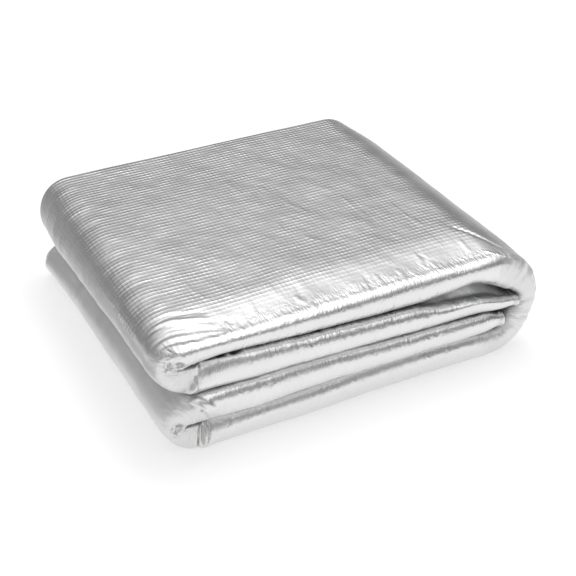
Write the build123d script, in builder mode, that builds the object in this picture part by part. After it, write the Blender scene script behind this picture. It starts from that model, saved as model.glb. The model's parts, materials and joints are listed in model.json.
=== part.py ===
"""Folding solar blanket: a padded, foil-faced blanket, stored folded.

The blanket is one long padded strip. It is first doubled along its length, so
that one long edge is a soft bend (the front, -Y) and the other holds both
hemmed edges (the back, +Y). Both ends are then folded in to the middle, and the
two halves are closed like a book whose spine is at +X. The result is a stack of
four layers: bottom panel, lower flap, upper flap and top panel.

Each stretch between two bends has five pieces: the foil facing outside, the
batting, the foil lining inside, the hem tape and the hem thread. The spine is
three narrow strips, so that it lies nearly flat when the book is open.

Frame: origin under the middle of the folded blanket, X along the long side, Y
from the front bend to the hems, Z up. Millimetres.
"""

import os
from math import degrees

from build123d import *

# Driving sizes of the folded blanket
LENGTH = 400.0  # overall, along X
WIDTH = 340.0  # overall, along Y
LAYER = 29.4  # a doubled layer, two plies thick
LAYER_GAP = 0.6  # between two stacked layers
SPINE_LAYER = 21.4  # a doubled layer squeezed round the spine

# Cloth, tape and thread
FACING = 0.5
LINING = 0.4
SLIT = 0.6  # between the linings of the two plies
TAPE = 0.6
THREAD_WIDTH = 0.8
THREAD_HEIGHT = 0.4
HEM = 20.0  # how far the tape reaches in from a hemmed edge
TAPER = 12.0  # over which the padding thins towards the hem
HEM_OUTER_SHARE = 0.75  # of the layer's half thickness, at the long hems
HEM_INNER_SHARE = 0.28
END_OUTER_SHARE = 0.80  # the same at a flap's free end, where the corners bunch
END_INNER_SHARE = 0.22
THREAD_INSET = 6.0  # from the tape's inner edge to the thread

# Spine
STRIPS = ("spine_lower", "spine_middle", "spine_upper")
STRIP_ANGLE = 180.0 / (len(STRIPS) + 1)
STRIP_CLEARANCE = 0.15  # each side of a fold line
SQUEEZE = 45.0  # over which a panel thins towards the spine
FLAP_REACH = 20.0  # how far the flaps' ends go past the spine's centre

# Worked out from the sizes above
PITCH = LAYER + LAYER_GAP
SPINE_RADIUS = (4 * LAYER + 3 * LAYER_GAP) / 2
BAND_RADIUS = SPINE_RADIUS - SPINE_LAYER / 2  # to the middle of the squeezed layer
SPINE_X = LENGTH / 2 - SPINE_RADIUS
SPINE_Z = SPINE_RADIUS
SQUEEZE_X = SPINE_X - SQUEEZE
CLEARANCE_ANGLE = degrees(STRIP_CLEARANCE / SPINE_RADIUS)
FOLD_X = -LENGTH / 2 + LAYER + LAYER_GAP / 2
FLAP_HEM_X = SPINE_X + FLAP_REACH - TAPE - HEM
FRONT = -WIDTH / 2
HEM_END = WIDTH / 2 - TAPE
HEM_START = HEM_END - HEM
LAYER_MIDDLES = [LAYER / 2 + index * PITCH for index in range(4)]

PIECES = ("facing", "batting", "lining", "hem_tape", "hem_thread")


class Ply:
    """Offsets of one ply's surfaces from the middle of a doubled layer."""

    def __init__(self, layer, end=False):
        half = layer / 2
        self.bend = FRONT + half
        self.hem_outer = half * HEM_OUTER_SHARE
        self.hem_inner = half * HEM_INNER_SHARE
        self.outer = half * END_OUTER_SHARE if end else half
        self.inner = half * END_INNER_SHARE if end else SLIT / 2

    def offsets(self, piece):
        """Outer and inner offset of a piece of cloth, then the same two at the hem."""
        depths = {
            "facing": (self.outer, self.outer - FACING, self.hem_outer, self.hem_outer - FACING),
            "batting": (self.outer - FACING, self.inner + LINING, self.hem_outer - FACING, self.hem_inner + LINING),
            "lining": (self.inner + LINING, self.inner, self.hem_inner + LINING, self.hem_inner),
        }
        return depths[piece]


THICK = Ply(LAYER)
SQUEEZED = Ply(SPINE_LAYER)
FREE_END = Ply(LAYER, end=True)


def across(x, z):
    """The plane across a straight layer. Its own x and y run along Y and Z."""
    return Plane(origin=(x, 0, z), x_dir=(0, 1, 0), z_dir=(1, 0, 0))


def around(angle):
    """The plane across the strip in the spine, at an angle above +X."""
    outward = Vector(1, 0, 0).rotate(Axis.Y, -angle)
    middle = Vector(SPINE_X, 0, SPINE_Z) + outward * BAND_RADIUS
    return Plane(origin=middle, x_dir=(0, 1, 0), z_dir=Vector(0, 1, 0).cross(outward))


def cloth_section(plane, ply, piece):
    """One piece of cloth: a U round the front bend, with a leg in each ply."""
    outer, inner, hem_outer, hem_inner = ply.offsets(piece)
    with BuildSketch(plane) as section:
        with BuildLine():
            for offset, hem_offset in ((outer, hem_outer), (inner, hem_inner)):
                for side in (1, -1):
                    Polyline(
                        (HEM_END, side * hem_offset),
                        (HEM_START, side * hem_offset),
                        (HEM_START - TAPER, side * offset),
                        (ply.bend, side * offset),
                    )
                ThreePointArc((ply.bend, offset), (ply.bend - offset, 0), (ply.bend, -offset))
            for side in (1, -1):
                Line((HEM_END, side * hem_outer), (HEM_END, side * hem_inner))
        make_face()
    return section.sketch


def tape_sections(plane, ply):
    """The tapes folded over the hems of the two plies, the lower ply's first."""
    sections = []
    height = ply.hem_outer - ply.hem_inner
    middle = (ply.hem_outer + ply.hem_inner) / 2
    for side in (-1, 1):
        with BuildSketch(plane) as section:
            with Locations((HEM_START, side * middle)):
                Rectangle(HEM + TAPE, height + 2 * TAPE, align=(Align.MIN, Align.CENTER))
                Rectangle(HEM, height, align=(Align.MIN, Align.CENTER), mode=Mode.SUBTRACT)
        sections.append(section.sketch)
    return sections


def thread_sections(plane, ply):
    """The seam's thread, one line on each face of each tape, from the lowest up."""
    outer = ply.hem_outer + TAPE + THREAD_HEIGHT / 2
    inner = ply.hem_inner - TAPE - THREAD_HEIGHT / 2
    sections = []
    for offset in (-outer, -inner, inner, outer):
        with BuildSketch(plane) as section:
            with Locations((HEM_START + THREAD_INSET, offset)):
                Rectangle(THREAD_WIDTH, THREAD_HEIGHT)
        sections.append(section.sketch)
    return sections


def sections_of(piece, plane, ply):
    """The separate sections that a piece has on a plane across the strip."""
    if piece == "hem_tape":
        return tape_sections(plane, ply)
    if piece == "hem_thread":
        return thread_sections(plane, ply)
    return [cloth_section(plane, ply, piece)]


def save(builder, name):
    builder.part.label = name
    export_step(builder.part, f"parts/{name}.step")


def make_panel(name, middle, side):
    """Bottom (side -1) or top (side 1) panel, with its share of the spine."""
    spine_middle = SPINE_Z + side * BAND_RADIUS
    start = 90 - STRIP_ANGLE / 2 + CLEARANCE_ANGLE
    for piece in PIECES:
        with BuildPart() as panel:
            for section in sections_of(piece, across(FOLD_X, middle), THICK):
                extrude(section, amount=SQUEEZE_X - FOLD_X)
            thick = sections_of(piece, across(SQUEEZE_X, middle), THICK)
            thin = sections_of(piece, across(SPINE_X, spine_middle), SQUEEZED)
            for pair in zip(thick, thin):
                loft(pair, ruled=True)
            for section in thin:
                revolve(section, axis=SPINE_AXES[side], revolution_arc=90 - start)
        save(panel, f"{name}_{piece}")


SPINE_AXES = {
    1: Axis((SPINE_X, 0, SPINE_Z), (0, 1, 0)),
    -1: Axis((SPINE_X, 0, SPINE_Z), (0, -1, 0)),
}


def make_strip(name, start):
    """One narrow strip of the spine, between two fold lines."""
    for piece in PIECES:
        with BuildPart() as strip:
            for section in sections_of(piece, around(start + CLEARANCE_ANGLE), SQUEEZED):
                revolve(section, axis=SPINE_AXES[-1], revolution_arc=STRIP_ANGLE - 2 * CLEARANCE_ANGLE)
        save(strip, f"{name}_{piece}")


def make_fold(name, below, above):
    """The half turn at the left end that joins a layer to the one above it."""
    crease = Axis((FOLD_X, 0, (below + above) / 2), (0, 1, 0))
    for piece in PIECES:
        with BuildPart() as fold:
            for section in sections_of(piece, across(FOLD_X, below), THICK):
                revolve(section, axis=crease, revolution_arc=180)
        save(fold, f"{name}_{piece}")


def make_flap(name, middle):
    """A folded-in end of the blanket, thinned to its own hem."""
    for piece in PIECES:
        trim = piece in ("hem_tape", "hem_thread")
        taper_x = FLAP_HEM_X if trim else FLAP_HEM_X - TAPER
        with BuildPart() as flap:
            for section in sections_of(piece, across(FOLD_X, middle), THICK):
                extrude(section, amount=taper_x - FOLD_X)
            if not trim:
                full = cloth_section(across(taper_x, middle), THICK, piece)
                thinned = cloth_section(across(FLAP_HEM_X, middle), FREE_END, piece)
                loft((full, thinned), ruled=True)
                extrude(thinned, amount=HEM)
        save(flap, f"{name}_{piece}")


def band_section(plane, outer, inner, end):
    """A U-shaped band round the front bend, between two offsets."""
    with BuildSketch(plane) as section:
        for offset, mode in ((outer, Mode.ADD), (inner, Mode.SUBTRACT)):
            with Locations((THICK.bend, 0)):
                Circle(offset, mode=mode)
                Rectangle(end - THICK.bend, 2 * offset, align=(Align.MIN, Align.CENTER), mode=mode)
    return section.sketch


def make_end_binding(name, middle):
    """The tape over a flap's free end, and the thread that holds it."""
    outer, inner = FREE_END.outer, FREE_END.inner
    hem_plane = across(FLAP_HEM_X, middle)
    with BuildPart() as tape:
        extrude(band_section(hem_plane, outer + TAPE, inner - TAPE, HEM_END + TAPE), amount=HEM + TAPE)
        extrude(band_section(hem_plane, outer, inner, HEM_END), amount=HEM, mode=Mode.SUBTRACT)
    save(tape, f"{name}_end_tape")

    seam_plane = across(FLAP_HEM_X + THREAD_INSET, middle)
    with BuildPart() as thread:
        for face, depth in ((outer + TAPE, THREAD_HEIGHT), (inner - TAPE, -THREAD_HEIGHT)):
            low, high = sorted((face, face + depth))
            extrude(band_section(seam_plane, high, low, HEM_END), amount=THREAD_WIDTH)
    save(thread, f"{name}_end_thread")


os.makedirs("parts", exist_ok=True)

make_panel("bottom_panel", LAYER_MIDDLES[0], side=-1)
make_fold("lower_fold", LAYER_MIDDLES[0], LAYER_MIDDLES[1])
make_flap("lower_flap", LAYER_MIDDLES[1])
make_end_binding("lower_flap", LAYER_MIDDLES[1])

for strip_index, strip_name in enumerate(STRIPS):
    make_strip(strip_name, start=-90 + STRIP_ANGLE * (strip_index + 0.5))

make_flap("upper_flap", LAYER_MIDDLES[2])
make_end_binding("upper_flap", LAYER_MIDDLES[2])
make_fold("upper_fold", LAYER_MIDDLES[2], LAYER_MIDDLES[3])
make_panel("top_panel", LAYER_MIDDLES[3], side=1)
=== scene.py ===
"""Looks of the folding solar blanket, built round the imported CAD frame.

The blanket is one padded strip. Two coordinates run in its cloth, in millimetres:
S along the strip, from the lower flap's free end, round the bottom panel, the
spine and the top panel, to the upper flap's free end, and U across it, from the
hem of the outer leg, round the front bend, to the hem of the inner leg. A station
is one section across the strip. Its outer and inner points are where the cloth's
two legs lie, and each kind of piece is a grid of stations by U.
"""

import json
import math

import bpy
import numpy as np
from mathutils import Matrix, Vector

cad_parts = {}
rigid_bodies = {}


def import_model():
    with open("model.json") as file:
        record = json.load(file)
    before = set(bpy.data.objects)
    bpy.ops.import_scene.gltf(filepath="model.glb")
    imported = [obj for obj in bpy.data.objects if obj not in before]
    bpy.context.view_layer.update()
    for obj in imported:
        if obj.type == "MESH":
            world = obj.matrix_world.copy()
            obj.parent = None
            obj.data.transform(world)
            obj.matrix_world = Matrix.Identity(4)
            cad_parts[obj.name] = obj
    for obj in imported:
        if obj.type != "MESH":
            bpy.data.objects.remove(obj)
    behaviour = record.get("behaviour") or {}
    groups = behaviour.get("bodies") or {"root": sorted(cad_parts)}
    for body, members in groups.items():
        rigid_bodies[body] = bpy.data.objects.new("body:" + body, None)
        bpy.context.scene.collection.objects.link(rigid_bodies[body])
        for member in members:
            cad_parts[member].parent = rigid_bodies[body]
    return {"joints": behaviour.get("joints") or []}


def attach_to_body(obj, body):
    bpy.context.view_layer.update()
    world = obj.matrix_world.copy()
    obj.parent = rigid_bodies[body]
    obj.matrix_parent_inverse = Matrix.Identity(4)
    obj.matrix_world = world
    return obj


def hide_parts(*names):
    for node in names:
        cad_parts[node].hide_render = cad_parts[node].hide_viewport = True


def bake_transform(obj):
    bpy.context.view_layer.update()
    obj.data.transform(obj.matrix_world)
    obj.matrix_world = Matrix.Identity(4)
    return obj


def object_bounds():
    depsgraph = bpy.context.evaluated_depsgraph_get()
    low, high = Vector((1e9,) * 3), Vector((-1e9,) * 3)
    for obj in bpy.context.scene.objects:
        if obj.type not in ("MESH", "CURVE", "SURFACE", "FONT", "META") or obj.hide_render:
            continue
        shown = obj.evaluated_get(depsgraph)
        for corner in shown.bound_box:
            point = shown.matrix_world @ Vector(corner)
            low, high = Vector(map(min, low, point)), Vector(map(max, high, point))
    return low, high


MM = 0.001
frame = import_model()
cad_low, cad_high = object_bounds()

# ---- sizes, in millimetres
LEFT, FRONT, _ = [c / MM for c in cad_low]
RIGHT, BACK, TOP = [c / MM for c in cad_high]
HINGES = [np.array(joint["pos_m"]) / MM for joint in frame["joints"]]
SPINE_BODIES = [frame["joints"][0]["parent"]] + [joint["child"] for joint in frame["joints"]]
HINGE_ANGLES = [-67.5, -22.5, 22.5, 67.5]
SPINE_Z = TOP / 2
SPINE_X = HINGES[0][0] - SPINE_Z * math.cos(math.radians(HINGE_ANGLES[0]))
SPINE_REACH = RIGHT - SPINE_X + 0.8
SPINE_EXPONENT = 2.02

# The seams between the layers: X over half the length, and Z over the height
SEAM_LOW = [(-0.83, 0.236), (-0.6, 0.245), (-0.3, 0.256), (0.33, 0.278), (0.7, 0.270)]
SEAM_MIDDLE = [(-0.83, 0.530), (-0.3, 0.526), (0.33, 0.489), (0.7, 0.462), (0.9, 0.436)]
SEAM_HIGH = [(-0.83, 0.765), (-0.7, 0.795), (-0.6, 0.800), (-0.3, 0.770)]
SEAM_HIGH += [(0.33, 0.712), (0.5, 0.732), (0.61, 0.762)]
SEAM_GAP = 0.35  # each side of a seam
FOLD_DEPTH = 38.0  # from the left end to where the layers run straight
FOLD_EXPONENT = 2.1
FOLD_X = LEFT + FOLD_DEPTH
CREASE_X = LEFT + 18.5  # the inside of both left folds
CLOSE_X = FOLD_X + 60.0  # left of here the panels' stations are closer together
LOWER_FLAP_END = SPINE_X + 20.5
UPPER_FLAP_END = SPINE_X + 35.5

BEND_EXPONENT = 2.45  # of the front bend's section
HEM = 4.0  # from the edge to where the padding starts to thicken
TAPER = 10.0  # over which it reaches its full thickness
HEM_OUTER_SHARE = 0.38  # of the half thickness, at the long hems
HEM_INNER_SHARE = 0.07
END_TAPER = 16.0  # the same three at the flaps' free ends
END_OUTER_SHARE = 0.80
END_INNER_SHARE = 0.22
SLIT = 0.35  # half the gap between the two linings
TAPE = 0.6  # how far the tape stands out past the hem
HEM_EDGE = BACK + 8.5  # the pinched hems stand out behind the layers
TAPE_EDGE = HEM_EDGE + TAPE

SCRIM_ALONG = 4.3  # between the threads that run across the strip
SCRIM_ACROSS = 5.1  # between the threads that run along it


# ---- small helpers
def smoothstep(low, high, value):
    t = np.clip((value - low) / (high - low), 0.0, 1.0)
    return t * t * (3 - 2 * t)


def value_noise(x, y, seed):
    """Smooth noise from -1 to 1, with one lattice point to each unit of x and y."""
    table = np.random.default_rng(seed).uniform(-1, 1, (256, 256))
    x0, y0 = np.floor(x).astype(int), np.floor(y).astype(int)
    tx, ty = smoothstep(0, 1, x - x0), smoothstep(0, 1, y - y0)
    corners = [table[(x0 + dx) % 256, (y0 + dy) % 256] for dx in (0, 1) for dy in (0, 1)]
    near = corners[0] * (1 - ty) + corners[1] * ty
    far = corners[2] * (1 - ty) + corners[3] * ty
    return near * (1 - tx) + far * tx


def layered_noise(x, y, seed, octaves=3):
    total, size = 0.0, 1.0
    for octave in range(octaves):
        total = total + size * value_noise(x * 2**octave, y * 2**octave, seed + octave)
        size /= 2
    return total


def smoothed(values, rounds):
    """A line of values, each evened out with its neighbours some times, with both ends kept."""
    for _ in range(rounds):
        values[1:-1] = (values[:-2] + 2 * values[1:-1] + values[2:]) / 4
    return values


def between(low, high, soft, value):
    """1 from low to high and 0 outside, with soft ends."""
    return smoothstep(low - soft, low + soft, value) * smoothstep(high + soft, high - soft, value)


def squarish(angle, exponent):
    """Both coordinates of a point on a squarish circle: an ellipse of a higher power."""
    cosine, sine = np.cos(angle), np.sin(angle)
    power = 2 / exponent
    return np.sign(cosine) * np.abs(cosine) ** power, np.sign(sine) * np.abs(sine) ** power


def spaced(start, end, step):
    count = max(2, int(round(abs(end - start) / step)) + 1)
    return np.linspace(start, end, count)


def lengths_along(line):
    """The length of a line up to each of its points."""
    steps = np.linalg.norm(np.diff(line, axis=0), axis=1)
    return np.concatenate(([0], np.cumsum(steps)))


# ---- the strip's path
def line_through(xs, points):
    """Heights at xs of the smooth line through a few (x, z) points."""
    px, pz = zip(*points)
    return smoothed(np.interp(xs, px, pz), 6)


def panel_path(x_from, x_to, step, outer_points, inner_points):
    """A panel's outer and inner points."""
    xs = spaced(x_from, x_to, step)
    order = 1 if x_to > x_from else -1
    outer = line_through(xs[::order], outer_points)[::order]
    inner = line_through(xs[::order], inner_points)[::order]
    return np.column_stack((xs, outer)), np.column_stack((xs, inner))


FOLD_STATIONS = 84
BEND_STATIONS = 28  # in each quarter of the spine
FLAP_STEP = 3.4
BOTTOM_STEP = 3.0
TOP_STEP = 1.6
CLOSE_STEP = 1.3


def panel_parts(name, x_from, x_to, step, outer_points, inner_points):
    """A panel in two parts, of which the one beside the fold has closer stations."""
    steps = (CLOSE_STEP, step) if x_from < x_to else (step, CLOSE_STEP)
    first = panel_path(x_from, CLOSE_X, steps[0], outer_points, inner_points)
    second = panel_path(CLOSE_X, x_to, steps[1], outer_points, inner_points)
    return [(name, *first), (name, *second)]


def fold_path(low, high, crease_z):
    """A left fold, from its top height down to its low one, pinched inside at the crease."""
    turn = np.linspace(0, 1, FOLD_STATIONS)
    across, up = squarish(np.pi * (0.5 + turn), FOLD_EXPONENT)
    outer_x = FOLD_X + FOLD_DEPTH * across
    outer_z = (low + high) / 2 + (high - low) / 2 * up
    inner_x = CREASE_X + (FOLD_X - CREASE_X) * np.abs(1 - 2 * turn)
    inner_z = crease_z + SEAM_GAP * (1 - 2 * turn)
    return np.column_stack((outer_x, outer_z)), np.column_stack((inner_x, inner_z))


# The spine's inner wall, which hugs the flaps' ends: angle, and X and Z from the centre
SPINE_INNER = [(-90, 0.0, -30.0), (-72, 15.5, -31.0), (-45, 23.5, -25.5)]
SPINE_INNER += [(-20, 27.5, -13.5), (-6, 36.0, -7.0), (9, 38.8, 3.5)]
SPINE_INNER += [(28, 31.0, 9.0), (60, 14.0, 18.0), (90, 0.0, 25.2)]


def spine_path(start, end):
    """The spine's outer and inner points between two angles."""
    angles = np.linspace(start, end, BEND_STATIONS)
    across, up = squarish(np.radians(angles), SPINE_EXPONENT)
    outer_x = SPINE_X + SPINE_REACH * across
    outer_z = SPINE_Z + SPINE_Z * up
    at, dx, dz = zip(*SPINE_INNER)
    fine = np.linspace(-90, 90, 181)
    wall = smoothed(np.column_stack((np.interp(fine, at, dx), np.interp(fine, at, dz))), 40)
    inner_x = SPINE_X + np.interp(angles, fine, wall[:, 0])
    inner_z = SPINE_Z + np.interp(angles, fine, wall[:, 1])
    return np.column_stack((outer_x, outer_z)), np.column_stack((inner_x, inner_z))


def seam(points, side):
    """A seam's points in millimetres, moved to one side of it."""
    return [(x * RIGHT, z * TOP + side * SEAM_GAP) for x, z in points]


def strip_path():
    """The parts of the strip, in order: segment, outer points and inner points."""
    lower_outer = [*seam(SEAM_MIDDLE[:4], -1), (LOWER_FLAP_END, SPINE_Z - 9.5)]
    lower_inner = [*seam(SEAM_LOW, 1), (LOWER_FLAP_END, SPINE_Z - 28.5)]
    bottom_outer = [(FOLD_X, 0), (SPINE_X, 0)]
    bottom_inner = [*seam(SEAM_LOW[:4], -1), (SPINE_X - 25, 31.0), (SPINE_X, SPINE_Z - 30.0)]
    top_outer = [(FOLD_X, TOP), (SPINE_X, TOP)]
    top_inner = [*seam(SEAM_HIGH, 1), (SPINE_X, SPINE_Z + 25.2)]
    upper_outer = seam(SEAM_MIDDLE, 1)
    upper_inner = [*seam(SEAM_HIGH, -1), (SPINE_X, SPINE_Z + 24.2)]
    upper_inner += [(UPPER_FLAP_END, SPINE_Z + 4.5)]
    low, middle, high = (points[0][1] * TOP for points in (SEAM_LOW, SEAM_MIDDLE, SEAM_HIGH))
    return [
        *panel_parts("lower_flap", LOWER_FLAP_END, FOLD_X, FLAP_STEP, lower_outer, lower_inner),
        ("lower_fold", *fold_path(0, middle - SEAM_GAP, low)),
        *panel_parts("bottom_panel", FOLD_X, SPINE_X, BOTTOM_STEP, bottom_outer, bottom_inner),
        ("spine_bend_1", *spine_path(-90, -45)),
        ("spine_bend_2", *spine_path(-45, 0)),
        ("spine_bend_3", *spine_path(0, 45)),
        ("spine_bend_4", *spine_path(45, 90)),
        *panel_parts("top_panel", SPINE_X, FOLD_X, TOP_STEP, top_outer, top_inner),
        ("upper_fold", *fold_path(middle + SEAM_GAP, TOP, high)),
        *panel_parts("upper_flap", FOLD_X, UPPER_FLAP_END, FLAP_STEP, upper_outer, upper_inner),
    ]


def join_path(parts):
    """All stations in one run, and for each segment its first and last station."""
    outer, inner, spans = [], [], {}
    for name, part_outer, part_inner in parts:
        shared = 1 if outer else 0  # a part starts at the last station of the one before
        first = max(sum(map(len, outer)) - 1, 0)
        outer.append(part_outer[shared:])
        inner.append(part_inner[shared:])
        last = sum(map(len, outer)) - 1
        spans[name] = (spans[name][0] if name in spans else first, last)
    return np.vstack(outer), np.vstack(inner), spans


OUTER, INNER, SPANS = join_path(strip_path())
STATIONS = len(OUTER)
ALONG = lengths_along(OUTER)  # S of each station


def ends_of(segment):
    """S at a segment's start and at its end."""
    first, last = SPANS[segment]
    return ALONG[first], ALONG[last]


def stations_of(segment):
    first, last = SPANS[segment]
    return slice(first, last + 1)


# ---- sections across the strip
BEND_DEPTH_MOST = 14.5  # from the front edge back to where the legs start
SPINE_BEND_DEPTH = 12.0  # the same on the spine
LEG_LENGTH = HEM_EDGE - FRONT - BEND_DEPTH_MOST
BEND_LENGTH = 44.0  # of cloth round the front bend
U_MOST = BEND_LENGTH / 2 + LEG_LENGTH
NEAR_BEND = 30.0  # the length of leg by the bend that gets closer rows
BEND_TURN = np.linspace(90, -90, 46)[1:-1]
SPINE_BENDS = ("spine_bend_1", "spine_bend_2", "spine_bend_3", "spine_bend_4")


def share_of(*names, rounds=12):
    """1 at the stations of some segments, and 0 elsewhere, with soft ends."""
    share = np.zeros(STATIONS)
    for name in names:
        share[stations_of(name)] = 1
    return smoothed(share, rounds)[:, None]


def leg_rows(step, step_near_bend):
    """Distances in from the hem of a leg's rows, up to the bend."""
    coarse = spaced(0, LEG_LENGTH - NEAR_BEND, step)
    fine = spaced(LEG_LENGTH - NEAR_BEND, LEG_LENGTH, step_near_bend)
    return np.concatenate((coarse, fine[1:]))


def cloth_across(outer_rows, inner_rows, turn):
    """U of each row, 0 at the middle of the front bend and positive on the outer leg."""
    half_bend = BEND_LENGTH / 2
    outer = half_bend + LEG_LENGTH - outer_rows
    inner = -half_bend - (LEG_LENGTH - inner_rows)[::-1]
    return np.concatenate((outer, turn / 90 * half_bend, inner))


def section_frame():
    """Each station's middle, outward direction, half thickness and bend depth."""
    across = OUTER - INNER
    thickness = np.linalg.norm(across, axis=1)
    half = thickness / 2
    spine = share_of(*SPINE_BENDS, rounds=60)[:, 0]
    most = BEND_DEPTH_MOST + (SPINE_BEND_DEPTH - BEND_DEPTH_MOST) * spine
    return (OUTER + INNER) / 2, across / thickness[:, None], half, np.minimum(half, most)


MIDDLE, OUTWARD, HALF, BEND_DEPTH = section_frame()


def gathers(turn):
    """1 where a left fold's front is drawn in flat, and 0 where it is a round bend."""
    along = ALONG[:, None]
    share = 0
    for name, start, slant in (("lower_fold", 32, 5), ("upper_fold", 18, 15)):
        first, last = ends_of(name)
        rising = smoothstep(start, start + 26, along - first)
        end = last + 4 - slant * smoothstep(-60, 50, turn)
        share = share + rising * smoothstep(end + 3, end - 3, along)
    return share


FOLD_RECESS = 6.5  # how far the folds' flat fronts are drawn in
SEAM_RECESS = 9.0  # the same for the seams beside them
HIDDEN_SHARE = 0.3  # of that on the top panel and the upper fold


def beside_folds():
    """1 at the stations at the left, where seams are drawn in, and 0 at the right."""
    share = smoothstep(-0.5 * RIGHT, -0.85 * RIGHT, MIDDLE[:, 0])
    share[SPANS["top_panel"][0] : SPANS["upper_fold"][1]] *= HIDDEN_SHARE
    return share


BESIDE_FOLDS = beside_folds()

# How much the upper flap's front bend is lower than its back, along X
PINCH = [(-0.83, 0.0), (-0.3, 0.5), (0.30, 1.5), (0.61, 15.5), (0.75, 9.5), (0.88, 1.0)]
PINCH_LENGTH = 21.0
FLAP_FORWARD = 3.4  # how much further the flaps' bends stand out than the panels'


def front_edge():
    """Y of the front bend at each station."""
    forward = np.zeros(STATIONS)
    for flap, rise, fall in (("lower_flap", (0, 30), (50, 10)), ("upper_flap", (4, 60), (0, -30))):
        first, last = ends_of(flap)
        rising = smoothstep(first + rise[0], first + rise[1], ALONG)
        forward += rising * smoothstep(last + fall[0], last + fall[1], ALONG)
    corner, _ = ends_of("lower_fold")
    forward += smoothstep(corner - 60, corner - 5, ALONG) * smoothstep(corner + 62, corner + 30, ALONG)
    return FRONT + 0.9 + 0.9 * value_noise(ALONG / 55, 0 * ALONG, 5) - FLAP_FORWARD * forward


FRONT_EDGE = front_edge()

FLOOR_CLEARANCE = 0.3
CORNER_RADIUS = 36.0  # of the left front corner, seen from above
BACK_SAG = 16.0  # how much lower the left folds' seams are at the back
LEFT_INSET = 1.0  # how far the left folds are drawn in all along
LOWER_INSET = 5.5  # how much further the lower one is
LEFT_BACK_INSET = 4.0  # how far the corners at the back are drawn in
RIGHT_BACK_INSET = 10.0


def round_corners(points):
    """Rounds the stack's upright corners, and draws the lower fold in a little."""
    x, y, z = points[..., 0], points[..., 1], points[..., 2]
    left = smoothstep(FOLD_X + 25, LEFT, x)
    right = smoothstep(SPINE_X, RIGHT, x)
    back = smoothstep(BACK - 75, BACK, y) ** 1.5
    low = smoothstep(0.56 * TOP, 0.40 * TOP, z)
    moved = points.copy()
    moved[..., 0] += left * (LEFT_BACK_INSET * back + LEFT_INSET + LOWER_INSET * low * (1 - 1.2 * back))
    moved[..., 0] -= right * RIGHT_BACK_INSET * back
    a = np.clip((LEFT + CORNER_RADIUS - moved[..., 0]) / CORNER_RADIUS, 0, 1)
    b = np.clip((FRONT + CORNER_RADIUS - y) / CORNER_RADIUS, 0, 1)
    moved[..., 0] += CORNER_RADIUS * a * (1 - np.sqrt(1 - b**2 / 2))
    moved[..., 1] += CORNER_RADIUS * b * (1 - np.sqrt(1 - a**2 / 2))
    sag = BACK_SAG * smoothstep(-0.2 * RIGHT, LEFT, x) * smoothstep(FRONT + 60, BACK, y)
    moved[..., 2] -= sag * np.sin(np.pi * np.clip(z / TOP, 0, 1)) ** 1.5
    moved[..., 2] = np.maximum(moved[..., 2], FLOOR_CLEARANCE)
    return moved


CROWN = 5.0  # how much lower the top's front edge is than its middle
CROWN_LENGTH = 48.0
DROP_OVERRUN = 0.3  # how far either slope runs on past the bend's start, over its length
BEND_DROP = smoothstep(1, -DROP_OVERRUN, 0)  # the share of the drop that is reached there


def crowns():
    """How much lower the front bend's outer side is than its leg, at each station."""
    share = np.zeros(STATIONS)
    first, last = SPANS["top_panel"]
    share[first - 20 : last + 30] = 1
    return CROWN * smoothed(share, 200)


def pinches():
    """How much lower the front bend's inner side is than its leg, at each station."""
    at, depth = zip(*PINCH)
    flap = np.arange(STATIONS) >= SPANS["upper_flap"][0]
    return np.interp(MIDDLE[:, 0] / RIGHT, at, depth) * flap


def cloth_surface(leg_half, hem_half, bend_reach, outer_rows, inner_rows, turn):
    """A grid of points, stations by rows, for cloth at some offset from the strip's middle.

    leg_half and hem_half are offsets at each station, away from the hems and at them.
    bend_reach is how far the front bend stands out from where the legs start.
    """
    bend_y = FRONT_EDGE + BEND_DEPTH
    pinch = pinches() * leg_half / HALF
    crown = crowns() * leg_half / HALF
    gathered = gathers(-90)[:, 0]
    flat_reach = bend_reach - FOLD_RECESS * gathered
    inner_start = bend_y + SEAM_RECESS * BESIDE_FOLDS * (1 - gathered) - flat_reach * gathered
    ys, offsets = [], []
    for rows, side, start in ((outer_rows, 1, bend_y), (inner_rows, -1, inner_start)):
        y = HEM_EDGE + (start - HEM_EDGE)[:, None] * rows / rows[-1]
        blend = smoothstep(HEM, HEM + TAPER, HEM_EDGE - y)
        half = hem_half[:, None] * (1 - blend) + leg_half[:, None] * blend
        lower, length = (pinch, PINCH_LENGTH) if side < 0 else (crown, CROWN_LENGTH)
        slope = smoothstep(length, -DROP_OVERRUN * length, y - start[:, None])
        half = half - lower[:, None] * slope
        ys.append(y)
        offsets.append(side * half)
    angle = np.radians(turn)
    gather = gathers(turn)
    round_out, up = squarish(angle, BEND_EXPONENT)
    flat_out, _ = squarish(np.maximum(angle, 0), BEND_EXPONENT)
    to_seam = (1 - up) / 2
    bulge = round_out * (1 - gather) + flat_out * gather
    reach = bend_reach[:, None] - FOLD_RECESS * gather
    drawn_in = SEAM_RECESS * BESIDE_FOLDS[:, None] * (1 - gather) * to_seam
    bend_y = bend_y[:, None] + drawn_in - reach * bulge
    drop = pinch[:, None] * (turn < 0) + crown[:, None] * (turn > 0)
    bend_half = leg_half[:, None] - drop * BEND_DROP
    bend_offset = bend_half * up
    y = np.hstack((ys[0], bend_y, ys[1][:, ::-1]))
    offset = np.hstack((offsets[0], bend_offset, offsets[1][:, ::-1]))
    points = np.empty((*y.shape, 3))
    points[..., 0] = MIDDLE[:, :1] + OUTWARD[:, :1] * offset
    points[..., 1] = y
    points[..., 2] = MIDDLE[:, 1:] + OUTWARD[:, 1:] * offset
    return round_corners(points)


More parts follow.
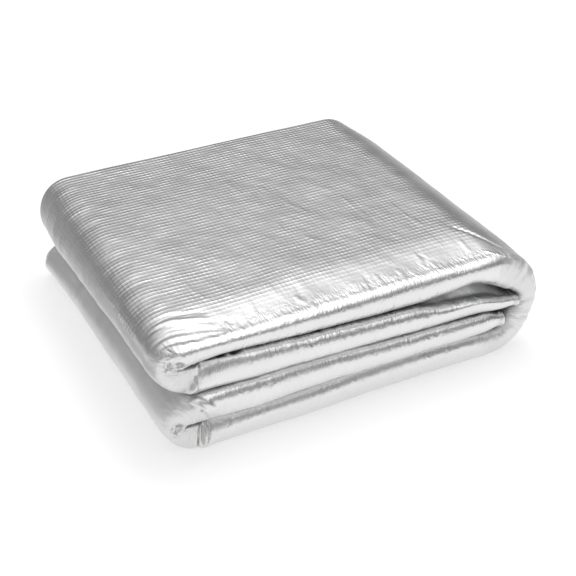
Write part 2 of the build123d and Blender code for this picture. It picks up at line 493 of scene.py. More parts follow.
def normals_of(points):
    """Unit normals of a grid, pointing out of the strip."""
    normal = np.cross(np.gradient(points, axis=0), np.gradient(points, axis=1))
    length = np.linalg.norm(normal, axis=2, keepdims=True)
    return normal / np.maximum(length, 1e-9)


def line_at(grid, places, place):
    """The grid's line of points at one place, where its lines lie at rising places."""
    position = np.interp(place, places, np.arange(len(places)))
    low = min(int(position), len(places) - 2)
    share = position - low
    return grid[low] * (1 - share) + grid[low + 1] * share


class Layer:
    """One layer of the cloth: its points, their normals, and the U of its rows."""

    def __init__(self, points, us):
        self.points = points
        self.normals = normals_of(points)
        self.us = us

    def row(self, u):
        """The line of points at one U, and their normals."""
        grids = (self.points, self.normals)
        return [line_at(grid.swapaxes(0, 1), -self.us, -u) for grid in grids]


# ---- facing and its wrinkles
FACING_OUTER = leg_rows(1.7, 1.4)
FACING_INNER = leg_rows(5.0, 1.8)
U = cloth_across(FACING_OUTER, FACING_INNER, BEND_TURN)
S_GRID, U_GRID = np.meshgrid(ALONG, U, indexing="ij")


def swell():
    """The broad unevenness of the padding."""
    flat = smoothstep(10, 60, np.abs(U_GRID))
    broad = 0.6 * layered_noise(S_GRID / 85, U_GRID / 85, 11, 2) * flat
    tube = 0.8 * value_noise(S_GRID / 60, U_GRID / 30, 31) * (1 - flat)
    return broad + tube


def fold_streaks():
    """Long faint ridges that run round the left folds."""
    streaks = 0.30 * layered_noise(S_GRID / 70, U_GRID / 9, 41, 2)
    return streaks * share_of("lower_fold", "upper_fold", rounds=30)


def spine_streaks():
    """Fine wrinkles round the spine's front, from its inner wall to its outer one."""
    front = smoothstep(30, 8, np.abs(U_GRID))
    streaks = 0.75 * layered_noise(S_GRID / 10, U_GRID / 40, 51, 2) * front
    return streaks * share_of(*SPINE_BENDS, rounds=20)


def tube_puckers():
    """Small gathers along the inner side of both flaps' front bends."""
    where = smoothstep(-40, -18, U_GRID) * smoothstep(8, -6, U_GRID)
    small = layered_noise(S_GRID / 9, U_GRID / 25, 61, 2)
    patchy = smoothstep(-0.2, 0.6, value_noise(S_GRID / 45, U_GRID / 60, 63))
    return 0.45 * small * where * patchy * share_of("upper_flap", "lower_flap")


def ridge(points, width, height):
    """A thin crease along a few (S, U) points, fading at its ends; a groove below 0."""
    nearest = np.full(S_GRID.shape, np.inf)
    share = np.zeros(S_GRID.shape)
    count = len(points) - 1
    for index in range(count):
        (s0, u0), (s1, u1) = points[index : index + 2]
        length = (s1 - s0) ** 2 + (u1 - u0) ** 2
        t = np.clip(((S_GRID - s0) * (s1 - s0) + (U_GRID - u0) * (u1 - u0)) / length, 0, 1)
        away = (S_GRID - s0 - t * (s1 - s0)) ** 2 + (U_GRID - u0 - t * (u1 - u0)) ** 2
        share = np.where(away < nearest, (index + t) / count, share)
        nearest = np.minimum(nearest, away)
    fade = smoothstep(0, 0.2, share) * smoothstep(1, 0.8, share)
    return height * np.exp(-nearest / width**2) * (0.15 + 0.85 * fade)


def window(s0, s1, u0, u1, soft=8.0):
    """1 inside a rectangle of the cloth and 0 outside it, with soft edges."""
    return between(s0, s1, soft, S_GRID) * between(u0, u1, soft, U_GRID)


def knot(s, u):
    """The crumpled bunch at a fold's crease, with a deep pit beside it."""
    away = ((S_GRID - s) / 9) ** 2 + ((U_GRID - u) / 6) ** 2
    crumple = 2.4 * layered_noise(S_GRID / 4.2, U_GRID / 3.4, 71, 2) * np.exp(-away)
    pit = np.exp(-(((S_GRID - s + 9) / 4.5) ** 2) - ((U_GRID - u + 6) / 3.0) ** 2)
    return crumple - 7.0 * pit


def corner_creases():
    """The bunches, fans and crumples at the front of the left folds."""
    lower, lower_end = ends_of("lower_fold")
    upper, upper_end = ends_of("upper_fold")
    relief = knot(upper + 42, 2) + knot(lower + 60, 4)
    fan = layered_noise((S_GRID + 0.6 * U_GRID) / 45, (U_GRID - 0.25 * S_GRID) / 4.6, 81, 2)
    relief = relief + 0.7 * fan * window(upper - 25, upper + 34, 14, 62)
    for shift in (0, 5, 9):
        points = [(lower + 14 - shift, 19), (lower + 4 - shift, 10), (lower - 8 - shift, -3)]
        relief = relief + ridge(points, 2.0, 3.0 - 0.15 * shift)
    pleats = ((-7, 1.2), (-4, -2.4), (-1.5, 2.2), (1.5, -2.4), (4.5, 2.0), (7.5, -1.5))
    for shift, height in pleats:
        line = ((shift, -24), (1.4 * shift, -8), (0.6 * shift, 12))
        relief = relief + ridge([(lower_end + s, u) for s, u in line], 1.3, height)
    ragged = layered_noise(S_GRID / 5.5, U_GRID / 9, 91, 2)
    ragged_edge = window(upper_end + 8, upper_end + 42, -34, -17, soft=5.0)
    return relief + (2.2 * ragged - 3.2) * ragged_edge


def shoulder_creases():
    """Short creases that cross the top panel's front shoulder, and long ones behind it."""
    random = np.random.default_rng(7)
    first, last = ends_of("top_panel")
    relief = np.zeros(S_GRID.shape)
    for _ in range(16):
        s, u = random.uniform(first + 10, last - 5), random.uniform(14, 34)
        reach, lean = random.uniform(10, 26), random.uniform(-7, 7)
        points = [(s, u), (s + lean * 0.3, u + reach / 2), (s + lean, u + reach)]
        relief += ridge(points, 1.5, random.uniform(0.2, 0.45) * random.choice([-1, 1]))
    for _ in range(9):
        s, u = random.uniform(first + 20, last - 20), random.uniform(60, 250)
        reach, lean = random.uniform(18, 55), random.uniform(-16, 16)
        points = [(s, u), (s + lean * 0.7, u + reach / 2), (s + lean, u + reach)]
        relief += ridge(points, 1.8, random.uniform(0.18, 0.34))
    return relief


def spine_creases():
    """The deeper creases that run from the spine's shoulder down to its front."""
    _, end = ends_of("spine_bend_4")
    lines = (
        ((8, 78), (-6, 56), (-20, 34), (-36, 22)),
        ((2, 30), (-16, 16), (-38, 10)),
        ((-26, 58), (-44, 34), (-58, 20)),
        ((-70, 40), (-84, 22), (-92, 6)),
        ((-110, 30), (-118, 14), (-120, -4)),
    )
    relief = np.zeros(S_GRID.shape)
    for line, height in zip(lines, (-0.8, 0.6, -0.8, 0.9, -0.9)):
        relief += ridge([(end + s, u) for s, u in line], 1.7, height)
    return relief


def bend_pleats():
    """Fine ragged pleats that cross the front bends."""
    near = smoothstep(34, 20, np.abs(U_GRID))
    fine = 1 - 2 * np.abs(layered_noise(S_GRID / 6.5, U_GRID / 14, 101, 2))
    patchy = smoothstep(-0.6, 0.5, value_noise(S_GRID / 38, U_GRID / 30, 103))
    return 0.20 * fine * near * patchy * (1 - gathers(0))


def facing_relief():
    """How far the facing stands out along its normal, which is hardly at all at the hems."""
    relief = 0.22 * layered_noise(S_GRID / 18, U_GRID / 26, 21, 3)
    noises = (swell, fold_streaks, spine_streaks, tube_puckers, bend_pleats)
    for part in (*noises, shoulder_creases, spine_creases, corner_creases):
        relief = relief + part()
    return relief * (0.02 + 0.98 * smoothstep(6, 24, U_MOST - np.abs(U_GRID)))


def end_shares():
    """Each station's share of the half thickness, for a leg's outside and for its inside."""
    from_end = np.minimum(ALONG, ALONG[-1] - ALONG)
    near = smoothstep(HEM + END_TAPER, HEM, from_end)
    outer = 1 + (END_OUTER_SHARE - 1) * near
    inner = SLIT / HALF * (1 - near) + END_INNER_SHARE * near
    return outer, inner


OUTER_SHARE, INNER_SHARE = end_shares()


def facing_layer():
    hem_half = HALF * HEM_OUTER_SHARE
    rows = (FACING_OUTER, FACING_INNER, BEND_TURN)
    plain = cloth_surface(HALF * OUTER_SHARE, hem_half, BEND_DEPTH, *rows)
    grid = plain + normals_of(plain) * facing_relief()[..., None]
    grid[..., 2] = np.maximum(grid[..., 2], FLOOR_CLEARANCE / 2)
    return Layer(grid, U)


FACING = facing_layer()

LINING_ROWS = leg_rows(7.0, 6.0)
LINING_TURN = np.linspace(90, -90, 12)[1:-1]
LINING_U = cloth_across(LINING_ROWS, LINING_ROWS, LINING_TURN)


def lining_layer():
    half = HALF * INNER_SHARE
    rows = (LINING_ROWS, LINING_ROWS, LINING_TURN)
    grid = cloth_surface(half, HALF * HEM_INNER_SHARE, np.maximum(half, SLIT), *rows)
    return Layer(grid, LINING_U)


LINING = lining_layer()


# ---- meshes
def grid_faces(rows, columns):
    """Quads over a grid of points, facing out of the strip."""
    index = np.arange(rows * columns).reshape(rows, columns)
    quads = (index[:-1, :-1], index[1:, :-1], index[1:, 1:], index[:-1, 1:])
    return np.stack([quad.ravel() for quad in quads], axis=1)


def strip_faces(first, second):
    """Quads between two lines of point numbers."""
    return np.stack((first[:-1], first[1:], second[1:], second[:-1]), axis=1)


def add_object(name, data):
    thing = bpy.data.objects.new(name, data)
    bpy.context.scene.collection.objects.link(thing)
    return thing


def build(name, points, faces, material, normals=None, cloth=None):
    """A smooth mesh object from points in millimetres."""
    mesh = bpy.data.meshes.new(name)
    mesh.from_pydata((points * MM).tolist(), [], faces.tolist())
    mesh.shade_smooth()
    if cloth is not None:
        attribute = mesh.attributes.new("cloth", "FLOAT_VECTOR", "POINT")
        attribute.data.foreach_set("vector", (cloth * MM).astype(np.float32).ravel())
    if normals is not None:
        mesh.normals_split_custom_set_from_vertices(normals.tolist())
    mesh.materials.append(material)
    return add_object(name, mesh)


def cloth_of(alongs, acrosses):
    """The cloth's coordinates over a grid, as a list."""
    s, u = np.meshgrid(alongs, acrosses, indexing="ij")
    return np.stack((s, u, 0 * s), axis=2).reshape(-1, 3)


def crush_shares():
    """1 at the stations where the cloth was folded round, and 0 where it lies flat."""
    share = np.zeros(STATIONS)
    stretches = (
        ("lower_fold", "lower_fold", 0, 0),
        ("spine_bend_1", "spine_bend_4", 0, -22),
        ("upper_fold", "upper_fold", 46, 0),
    )
    for first_name, last_name, lead, trail in stretches:
        first = ends_of(first_name)[0] + lead
        last = ends_of(last_name)[1] + trail
        share += between(first, last, 18, ALONG)
    return np.clip(share, 0, 1)


CRUSH = crush_shares()


def cloth_piece(name, layer, segment, material):
    """A segment's stretch of a layer, as a one-sided mesh."""
    stations = stations_of(segment)
    part = layer.points[stations]
    faces = grid_faces(*part.shape[:2])
    normals = layer.normals[stations].reshape(-1, 3)
    cloth = cloth_of(ALONG[stations], layer.us)
    piece = build(name, part.reshape(-1, 3), faces, material, normals, cloth)
    attribute = piece.data.attributes.new("crush", "FLOAT", "POINT")
    crush = np.repeat(CRUSH[stations], len(layer.us))
    attribute.data.foreach_set("value", crush.astype(np.float32))
    return piece


def slab_piece(name, outside, inside, alongs, acrosses, material):
    """A closed piece between two grids of the same shape."""
    rows, columns = outside.shape[:2]
    count = rows * columns
    index = np.arange(count).reshape(rows, columns)
    faces = grid_faces(rows, columns)
    ring = np.concatenate((index[0], index[1:, -1], index[-1, -2::-1], index[-2::-1, 0]))
    sides = strip_faces(ring, ring + count)
    every = np.vstack((faces, faces[:, ::-1] + count, sides))
    points = np.vstack((outside.reshape(-1, 3), inside.reshape(-1, 3)))
    cloth = cloth_of(alongs, acrosses)
    return build(name, points, every, material, cloth=np.vstack((cloth, cloth)))


STITCH_PITCH = 4.2
STITCH_LENGTH = 3.0
STITCH_RADIUS = 0.36
STITCH_SIDES = 6
# The first half of a stitch: X over its length, then width and height over its radius
STITCH_HALF = [(-0.5, 0.35, -0.8), (-0.36, 0.9, -0.1), (0.0, 1.0, 0.35)]


def stitch_shape():
    """One stitch lying along X, with its ends dipping into the cloth: points and faces."""
    profile = STITCH_HALF + [(-x, width, lift) for x, width, lift in STITCH_HALF[-2::-1]]
    points = []
    for x, width, lift in profile:
        for side in range(STITCH_SIDES):
            angle = 2 * math.pi * side / STITCH_SIDES
            y, z = width * math.cos(angle), width * math.sin(angle) + lift
            points.append((x * STITCH_LENGTH, y, z))
    points = np.array(points) * (1, STITCH_RADIUS, STITCH_RADIUS)
    ring = np.append(np.arange(STITCH_SIDES), 0)
    starts = range(0, STITCH_SIDES * (len(profile) - 1), STITCH_SIDES)
    faces = [strip_faces(ring + start, ring + start + STITCH_SIDES) for start in starts]
    return points, np.vstack(faces)


def point_at(length, lengths, line):
    """The point some length along a line, whose points lie at lengths."""
    return np.array([np.interp(length, lengths, line[:, axis]) for axis in range(3)])


def stitched_piece(name, lines, material):
    """Rows of single stitches along some lines; each line is its points and their normals."""
    shape, shape_faces = stitch_shape()
    points, faces = [], []
    for line, normals in lines:
        at = lengths_along(line)
        for centre in np.arange(STITCH_PITCH / 2, at[-1], STITCH_PITCH):
            along = point_at(centre + 0.5, at, line) - point_at(centre - 0.5, at, line)
            along /= np.linalg.norm(along)
            up = point_at(centre, at, normals)
            side = np.cross(up, along)
            side /= np.linalg.norm(side)
            axes = np.stack((along, side, np.cross(along, side)))
            faces.append(shape_faces + sum(map(len, points)))
            points.append(point_at(centre, at, line) + shape @ axes)
    return build(name, np.vstack(points), np.vstack(faces), material)


# ---- materials
class Nodes:
    """A short way to write the nodes of a material or of the world."""

    def __init__(self, owner, shader="Principled BSDF"):
        owner.use_nodes = True
        self.owner = owner
        self.tree = owner.node_tree
        self.shader = self.tree.nodes[shader]

    def new(self, kind, **settings):
        node = self.tree.nodes.new(kind)
        for key, value in settings.items():
            setattr(node, key, value)
        return node

    def link(self, source, target):
        self.tree.links.new(source, target)

    def set(self, socket, value):
        """Gives a socket a value, or links it to another node's output."""
        if isinstance(value, bpy.types.NodeSocket):
            self.link(value, socket)
        else:
            socket.default_value = value

    def fill(self, node, values):
        """Sets or links some of a node's inputs."""
        for key, value in values.items():
            self.set(node.inputs[key], value)

    def math(self, operation, *values):
        node = self.new("ShaderNodeMath", operation=operation)
        for socket, value in zip(node.inputs, values):
            self.set(socket, value)
        return node.outputs[0]

    def remap(self, value, low, high, to_low=0.0, to_high=1.0):
        node = self.new("ShaderNodeMapRange", interpolation_type="SMOOTHSTEP")
        self.fill(node, {"Value": value, "From Min": low, "From Max": high})
        self.fill(node, {"To Min": to_low, "To Max": to_high})
        return node.outputs["Result"]

    def noise(self, vector, scale, detail=2.0, distortion=0.0):
        node = self.new("ShaderNodeTexNoise")
        self.fill(node, {"Vector": vector, "Scale": scale})
        self.fill(node, {"Detail": detail, "Distortion": distortion})
        return node.outputs["Fac"]

    def mix(self, factor, first, second):
        """Turns from one colour to another as the factor goes from 0 to 1."""
        node = self.new("ShaderNodeMix", data_type="RGBA")
        self.fill(node, {0: factor, 6: first, 7: second})
        return node.outputs[2]

    def ramp(self, value, stops):
        """A smooth grey ramp through some places and their levels."""
        node = self.new("ShaderNodeValToRGB")
        node.color_ramp.interpolation = "EASE"
        while len(node.color_ramp.elements) < len(stops):
            node.color_ramp.elements.new(0.5)
        for element, (place, level) in zip(node.color_ramp.elements, stops):
            element.position = place
            element.color = (level, level, level, 1)
        self.link(value, node.inputs[0])
        return node.outputs[0]

    def bump(self, height, distance):
        node = self.new("ShaderNodeBump")
        self.fill(node, {"Distance": distance, "Height": height})
        self.fill(self.shader, {"Normal": node.outputs["Normal"]})

    def surface(self, tint, roughness, metallic):
        values = {"Base Color": tint, "Roughness": roughness, "Metallic": metallic}
        self.fill(self.shader, values)
        return self.owner

    def cloth(self):
        """The cloth's own coordinates, in metres: along the strip, and across it."""
        node = self.new("ShaderNodeAttribute", attribute_name="cloth")
        split = self.new("ShaderNodeSeparateXYZ")
        self.link(node.outputs["Vector"], split.inputs[0])
        return node.outputs["Vector"], split.outputs[0], split.outputs[1]


# Distances from the front bend's middle, in metres, over which some things come in or fade
GRID_COMES = (0.032, 0.075)
GRID_TIGHTENS = (0.17, 0.33)
PLEATS_FADE = (0.018, 0.042)


def shaded(colour, share):
    """A darker colour, as a socket takes it."""
    return (*(level * share for level in colour), 1)


def threads(nodes, coordinate, wobble, pitch):
    """1 on the scrim's threads and 0 midway between them."""
    turns = nodes.math("DIVIDE", nodes.math("ADD", coordinate, wobble), pitch * MM)
    off = nodes.math("ABSOLUTE", nodes.math("SUBTRACT", nodes.math("FRACT", turns), 0.5))
    return nodes.remap(off, 0.0, 0.36, 1.0, 0.0)


def weighted_sum(nodes, terms):
    """The sum of some heights, each times its weight."""
    total = 0.0
    for height, weight in terms:
        total = nodes.math("ADD", total, nodes.math("MULTIPLY", height, weight))
    return total


def foil_material(name, colour, roughness, scrim_height):
    """Bright metal foil on a scrim whose threads show through as a fine grid."""
    nodes = Nodes(bpy.data.materials.new(name))
    vector, along, across = nodes.cloth()
    crush = nodes.new("ShaderNodeAttribute", attribute_name="crush").outputs["Fac"]
    wobble = nodes.math("MULTIPLY", nodes.math("SUBTRACT", nodes.noise(vector, 9.0), 0.5), 0.006)
    warp = threads(nodes, along, wobble, SCRIM_ALONG)
    weft = threads(nodes, across, wobble, SCRIM_ACROSS)

    # The grid is patchy, faint on the bends and in folded cloth, and strongest by the hems
    patchy = nodes.remap(nodes.noise(vector, 60.0, 3.0), 0.3, 0.7, 0.35, 1.0)
    away = nodes.math("ABSOLUTE", across)
    flat = nodes.remap(away, *GRID_COMES, 0.06, 1.0)
    flat = nodes.math("MULTIPLY", flat, nodes.remap(crush, 0.5, 1.0, 1.0, 0.25))
    grid = weighted_sum(nodes, ((weft, patchy), (nodes.math("MULTIPLY", warp, patchy), 0.38)))
    grid = nodes.math("MULTIPLY", grid, flat)
    grid = nodes.math("MULTIPLY", grid, nodes.remap(away, *GRID_TIGHTENS, 1.0, 1.7))

    # Fine pleats cross the front bend, and wrinkles of two sizes are all over
    stretched = nodes.new("ShaderNodeMapping")
    nodes.fill(stretched, {"Vector": vector, "Scale": (1.0, 0.30, 1.0)})
    pleats = nodes.noise(stretched.outputs[0], 240.0, 3.0, 0.5)
    pleats = nodes.math("ABSOLUTE", nodes.math("SUBTRACT", pleats, 0.5))
    near_bend = nodes.remap(away, *PLEATS_FADE, 1.0, 0.10)
    heights = (
        (grid, scrim_height),
        (nodes.math("MULTIPLY", pleats, near_bend), -1.3),
        (nodes.noise(vector, 420.0, 3.0), 0.05),
        (nodes.noise(vector, 110.0, 3.0), 0.20),
    )
    nodes.bump(weighted_sum(nodes, heights), MM)

    # The scrim's threads are painted up to 8% darker in the base colour: painted shade along the
    # threads, beside their bump.
    tint = nodes.mix(grid, (*colour, 1), shaded(colour, 0.92))
    uneven = nodes.noise(vector, 25.0, 3.0)
    rough = nodes.remap(uneven, 0.3, 0.7, roughness - 0.03, roughness + 0.05)
    rough = nodes.math("ADD", rough, nodes.math("MULTIPLY", crush, 0.20))
    return nodes.surface(tint, rough, 1.0)


def fabric_material(name, colour, roughness, metallic, pitch, depth):
    """A plain woven fabric, whose threads are pitch millimetres apart."""
    nodes = Nodes(bpy.data.materials.new(name))
    vector, along, across = nodes.cloth()
    waves = []
    for coordinate in (along, across):
        turns = nodes.math("MULTIPLY", coordinate, 2 * math.pi / (pitch * MM))
        waves.append(nodes.math("SINE", turns))
    weave = nodes.math("MULTIPLY", waves[0], waves[1])
    fuzz = nodes.noise(vector, 900.0, 3.0)
    woven, fuzzy = (nodes.math("MULTIPLY", part, depth) for part in (weave, fuzz))
    nodes.bump(nodes.math("ADD", woven, fuzzy), MM)
    shade = nodes.remap(nodes.noise(vector, 60.0, 4.0), 0.3, 0.7)
    tint = nodes.mix(shade, shaded(colour, 0.86), (*colour, 1))
    return nodes.surface(tint, roughness, metallic)


FACING_FOIL = foil_material("foil_facing", (0.79, 0.795, 0.79), 0.29, 0.22)
LINING_FOIL = foil_material("foil_lining", (0.74, 0.75, 0.77), 0.36, 0.10)
BATTING = fabric_material("polyester_batting", (0.82, 0.82, 0.80), 0.95, 0.0, 1.7, 0.25)
HEM_TAPE = fabric_material("silver_hem_tape", (0.72, 0.72, 0.73), 0.38, 0.85, 0.8, 0.06)
THREAD = fabric_material("grey_thread", (0.60, 0.60, 0.61), 0.6, 0.0, 0.4, 0.04)

# ---- pieces
LOWER_SEGMENTS = ("lower_flap", "lower_fold", "bottom_panel")
UPPER_SEGMENTS = ("top_panel", "upper_fold", "upper_flap")
PANEL_BODIES = dict.fromkeys(LOWER_SEGMENTS, SPINE_BODIES[0])
PANEL_BODIES |= dict.fromkeys(UPPER_SEGMENTS, SPINE_BODIES[-1])
SPINE_STRIPS = ("spine_lower", "spine_middle", "spine_upper")
FACING_INSET = 0.7  # of the batting's outside from the facing
LINING_OUTSET = 0.5  # and of its inside from the lining


def attach(piece, segment):
    """Makes a piece ride on its body; a spine piece rides on none, and only has its transform baked in.
    """
    if segment in PANEL_BODIES:
        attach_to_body(piece, PANEL_BODIES[segment])
        return
    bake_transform(piece)


def finish_piece(piece, segment, kind):
    """Attaches a piece, and hides the CAD node of its kind that it stands for."""
    attach(piece, segment)
    if segment in PANEL_BODIES:
        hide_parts(f"{segment}_{kind}")
    elif segment != SPINE_BENDS[-1]:
        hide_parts(f"{SPINE_STRIPS[SPINE_BENDS.index(segment)]}_{kind}")


def make_facing(segment):
    piece = cloth_piece(f"{segment}_cover", FACING, segment, FACING_FOIL)
    finish_piece(piece, segment, "facing")


def make_lining(segment):
    piece = cloth_piece(f"{segment}_lining_sheet", LINING, segment, LINING_FOIL)
    finish_piece(piece, segment, "lining")


def make_batting(segment):
    """The padding between the facing and the lining, with a quarter of the stations."""
    first, last = SPANS[segment]
    stations = np.unique(np.append(np.arange(first, last, 4), last))
    rows = [FACING.row(u) for u in LINING_U]
    outside = np.stack([points - normals * FACING_INSET for points, normals in rows], axis=1)
    outside = outside[stations]
    inside = LINING.points[stations] + LINING.normals[stations] * LINING_OUTSET
    name = f"{segment}_filling"
    piece = slab_piece(name, outside, inside, ALONG[stations], LINING_U, BATTING)
    finish_piece(piece, segment, "batting")


TAPE_LIFT = 0.45  # of the tape's outer face off the cloth
TAPE_UNDER = 0.08  # and of its inner one
# Rows of the tape: the distance in from the hem, and the share of the lift
TAPE_ROWS = ((6.0, 0.3), (5.7, 1.0), (4.4, 1.0), (2.8, 1.0), (1.3, 1.0), (0.0, 1.0))
TAPE_ROW_PITCH = 3.0
TAPE_CORNERS = (HEM_OUTER_SHARE - 0.06, HEM_INNER_SHARE + 0.06)
STITCH_LINE = 4.0  # from the hem
SIDES = ((1, FACING), (-1, LINING))


def tape_profile(leg_side, lift, edge_y):
    """The grid of one face of the hem tape, from the facing round the hem to the lining."""
    runs = []
    for way, layer in SIDES:
        lines = []
        for distance, share in TAPE_ROWS:
            points, normals = layer.row(leg_side * (U_MOST - distance))
            lines.append(points + way * normals * lift * share)
        runs.append(lines)
    edges = []
    for share in TAPE_CORNERS:
        middle = MIDDLE + OUTWARD * (leg_side * HALF * share)[:, None]
        points = np.column_stack((middle[:, 0], np.full(STATIONS, edge_y), middle[:, 1]))
        edges.append(round_corners(points))
    grid = np.stack(runs[0] + edges + runs[1][::-1], axis=1)
    return grid if leg_side > 0 else grid[:, ::-1]


def hem_stitch_lines(segment):
    """The stitch lines on both faces of both hems."""
    stations = stations_of(segment)
    lines = []
    for leg_side in (1, -1):
        for way, layer in SIDES:
            points, normals = layer.row(leg_side * (U_MOST - STITCH_LINE))
            normals = way * normals[stations]
            lines.append((points[stations] + normals * TAPE_LIFT, normals))
    return lines


def make_hem(segment):
    """The tape over each leg's hem, and its stitches."""
    stations = stations_of(segment)
    for leg_side, leg in ((1, "outer"), (-1, "inner")):
        outside = tape_profile(leg_side, TAPE_LIFT, TAPE_EDGE)[stations]
        inside = tape_profile(leg_side, TAPE_UNDER, HEM_EDGE)[stations]
        acrosses = np.arange(outside.shape[1]) * TAPE_ROW_PITCH
        name = f"{segment}_{leg}_hem_tape"
        piece = slab_piece(name, outside, inside, ALONG[stations], acrosses, HEM_TAPE)
        finish_piece(piece, segment, "hem_tape")
    stitches = stitched_piece(f"{segment}_hem_stitches", hem_stitch_lines(segment), THREAD)
    finish_piece(stitches, segment, "hem_thread")


LEG_ROWS = spaced(U_MOST - 1, 24, 6.0)
END_ROWS = np.concatenate((LEG_ROWS, spaced(22, -22, 1.5), -LEG_ROWS[::-1]))


def end_line(layer, s):
    """The line of points across the strip at one S, by a flap's end, and their normals."""
    lines = []
    for grid in (layer.points, layer.normals):
        line = line_at(grid, ALONG, s)
        columns = [np.interp(-END_ROWS, -layer.us, line[:, axis]) for axis in range(3)]
        lines.append(np.column_stack(columns))
    return lines


def end_tape_face(end, inward, lift, beyond):
    """The grid of one face of an end's tape, from the facing round the end to the lining."""
    runs = []
    for way, layer in SIDES:
        lines = []
        for distance, share in TAPE_ROWS:
            points, normals = end_line(layer, end + inward * distance)
            lines.append(points + way * normals * lift * share)
        runs.append(lines)
    outward = OUTER[0] - OUTER[1] if inward > 0 else OUTER[-1] - OUTER[-2]
    outward = np.array([outward[0], 0, outward[1]]) / np.linalg.norm(outward) * beyond
    outer, inner = runs[0][-1], runs[1][-1]
    edges = [outer * (1 - share) + inner * share + outward for share in (0.15, 0.85)]
    grid = np.stack(runs[0] + edges + runs[1][::-1], axis=0)
    return grid if inward < 0 else grid[::-1]


def make_end(segment):
    """The tape over a flap's free end, and its stitches."""
    end, inward = (0.0, 1) if segment == "lower_flap" else (ALONG[-1], -1)
    outside = end_tape_face(end, inward, TAPE_LIFT + 0.1, TAPE)
    inside = end_tape_face(end, inward, TAPE_UNDER, 0.0)
    alongs = np.arange(len(outside)) * TAPE_ROW_PITCH
    tape = slab_piece(f"{segment}_end_tape_band", outside, inside, alongs, END_ROWS, FACING_FOIL)
    finish_piece(tape, segment, "end_tape")

    lines = []
    for way, layer in SIDES:
        points, normals = end_line(layer, end + inward * STITCH_LINE)
        lines.append((points + way * normals * TAPE_LIFT, way * normals))
    stitches = stitched_piece(f"{segment}_end_stitches", lines, THREAD)
    finish_piece(stitches, segment, "end_thread")


for segment_name in SPANS:
    make_facing(segment_name)
    make_lining(segment_name)
    make_batting(segment_name)
    make_hem(segment_name)
for segment_name in ("lower_flap", "upper_flap"):
    make_end(segment_name)


# ---- stage
FLOOR_GREY = 0.52
FLOOR_GLOW = 0.55
FLOOR_HALF = 6.0  # of its width
FLOOR_Z = -0.0003
CARD_Z = 0.002  # of the painted floor shadow card, which lies on the floor
VIEW_WAY = np.array([0.457, 0.889])  # the camera's direction, seen from above
VIEW_SIDE = np.array([-0.889, 0.457])  # and what is to its left


def make_stage_sheet(name, corners, material_name, grey, roughness, glow):
    """A flat matt sheet that glows."""
    nodes = Nodes(bpy.data.materials.new(material_name))
    nodes.surface((grey, grey, grey, 1), roughness, 0.0)
    glowing = {"Emission Color": (1, 1, 1, 1), "Emission Strength": glow}
    nodes.fill(nodes.shader, {"Specular IOR Level": 0.0, **glowing})
    mesh = bpy.data.meshes.new(name)
    mesh.from_pydata(corners, [], [(0, 1, 2, 3)])
    mesh.materials.append(nodes.owner)
    sheet = add_object(name, mesh)
    return sheet


def level_corners(x0, x1, y0, y1, z):
    return [(x0, y0, z), (x1, y0, z), (x1, y1, z), (x0, y1, z)]


def upright_corners(middle, towards, width, height):
    """The corners of a sheet that stands on the floor, at middle, facing towards."""
    across = np.array([-towards[1], towards[0]]) / math.hypot(*towards) * width / 2
    feet = [middle - across, middle + across]
    return [(*feet[0], 0), (*feet[1], 0), (*feet[1], height), (*feet[0], height)]


def make_floor():
    """A pale floor that glows a little, so that shadows on it stay light."""
    corners = level_corners(-FLOOR_HALF, FLOOR_HALF, -FLOOR_HALF, FLOOR_HALF, 0)
    floor = make_stage_sheet("floor", corners, "floor_white", FLOOR_GREY, 0.7, FLOOR_GLOW)
    floor.location.z = FLOOR_Z


def make_card(name, corners, level):
    """A grey card that only shows in the foil."""
    card = make_stage_sheet(name, corners, name, 0.0, 1.0, level)
    card.visible_camera = False
    card.visible_diffuse = False
    card.visible_shadow = False


# The studio's walls, by the height that a ray rises to: its sine, which is 0 for all below
# the horizon and 1 straight up, and the grey level there
FAR = ((0.0, 0.22), (0.3, 0.31), (0.5, 0.46), (0.62, 0.58), (0.8, 1.1), (1.0, 1.4))
NEAR = ((0.0, 0.60), (0.24, 0.58), (0.38, 0.36), (0.5, 0.31), (0.71, 0.36), (0.82, 1.25), (1.0, 1.4))
LEFTWARD = ((0.0, 0.26), (0.2, 0.20), (0.36, 0.21), (0.5, 0.30), (0.64, 0.46), (0.82, 0.9), (1.0, 1.4))
RIGHTWARD = ((0.0, 0.12), (0.35, 0.15), (0.6, 0.45), (0.82, 1.1), (1.0, 1.4))
STUDIO_STRENGTH = 1.08


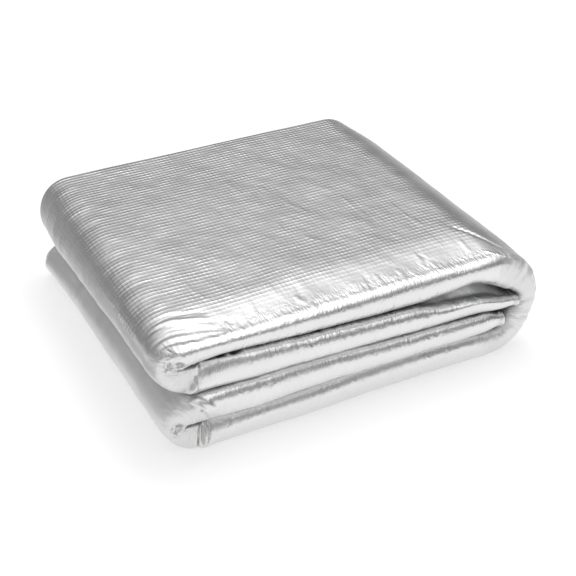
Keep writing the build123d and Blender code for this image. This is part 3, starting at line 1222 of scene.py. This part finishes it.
def make_world():
    """A plain studio with a bright ceiling and grey walls."""
    nodes = Nodes(bpy.data.worlds.new("studio"), "Background")
    bpy.context.scene.world = nodes.owner
    split = nodes.new("ShaderNodeSeparateXYZ")
    nodes.link(nodes.new("ShaderNodeTexCoord").outputs["Generated"], split.inputs[0])
    x, y, z = split.outputs
    far, near, left, right = (nodes.ramp(z, stops) for stops in (FAR, NEAR, LEFTWARD, RIGHTWARD))
    around = nodes.mix(nodes.remap(y, -0.25, 0.45), near, far)
    around = nodes.mix(nodes.remap(x, 0.40, -0.40), around, left)
    around = nodes.mix(nodes.remap(x, 0.44, 0.62), around, right)
    nodes.fill(nodes.shader, {"Color": around, "Strength": STUDIO_STRENGTH})


def add_looking(name, data, location, way):
    """Adds a light or a camera that looks one way."""
    thing = add_object(name, data)
    thing.location = location
    thing.rotation_euler = way.to_track_quat("-Z", "Y").to_euler()
    return thing


def make_light(name, location, size, power):
    data = bpy.data.lights.new(name, "AREA")
    data.shape = "RECTANGLE"
    data.size, data.size_y = size
    data.energy = power
    add_looking(name, data, location, -Vector(location))


CAMERA_AZIMUTH = math.radians(-27.2)
CAMERA_ELEVATION = math.radians(32.0)
CAMERA_DISTANCE = 1.209
CAMERA_TARGET = np.array([0, 0, 0.0607])
CAMERA_SENSOR = 36.0
CAMERA_LENS = 74.3
CAMERA_SHIFT = (0.018, -0.046)


def make_camera():
    level = math.cos(CAMERA_ELEVATION)
    x, y = math.sin(CAMERA_AZIMUTH) * level, -math.cos(CAMERA_AZIMUTH) * level
    back = np.array([x, y, math.sin(CAMERA_ELEVATION)])
    data = bpy.data.cameras.new("camera")
    data.sensor_width = CAMERA_SENSOR
    data.lens = CAMERA_LENS
    data.shift_x, data.shift_y = CAMERA_SHIFT
    place = CAMERA_TARGET + back * CAMERA_DISTANCE
    bpy.context.scene.camera = add_looking("camera", data, place, Vector(-back))


make_floor()
make_world()
left_middle = 0.47 * VIEW_SIDE + 0.58 * VIEW_WAY
make_card("left_card", upright_corners(left_middle, VIEW_SIDE, 1.2, 0.17), 0.35)
make_card("back_card", upright_corners(1.12 * VIEW_WAY, VIEW_WAY, 2.6, 0.40), 0.24)
# A painted floor shadow: a grey card lying on the floor beside the left folds, seen only in the foil,
# stands in for the shade on the floor there.
floor_shadow_corners = level_corners(cad_low[0] - 0.26, cad_low[0] - 0.052, cad_low[1], 0.6, CARD_Z)
make_card("painted_floor_shadow_card", floor_shadow_corners, 0.38)
make_light("top_softbox", (0.35, 0.25, 1.8), (1.0, 0.5), 8.0)
make_camera()
bpy.context.scene.view_settings.view_transform = "Standard"
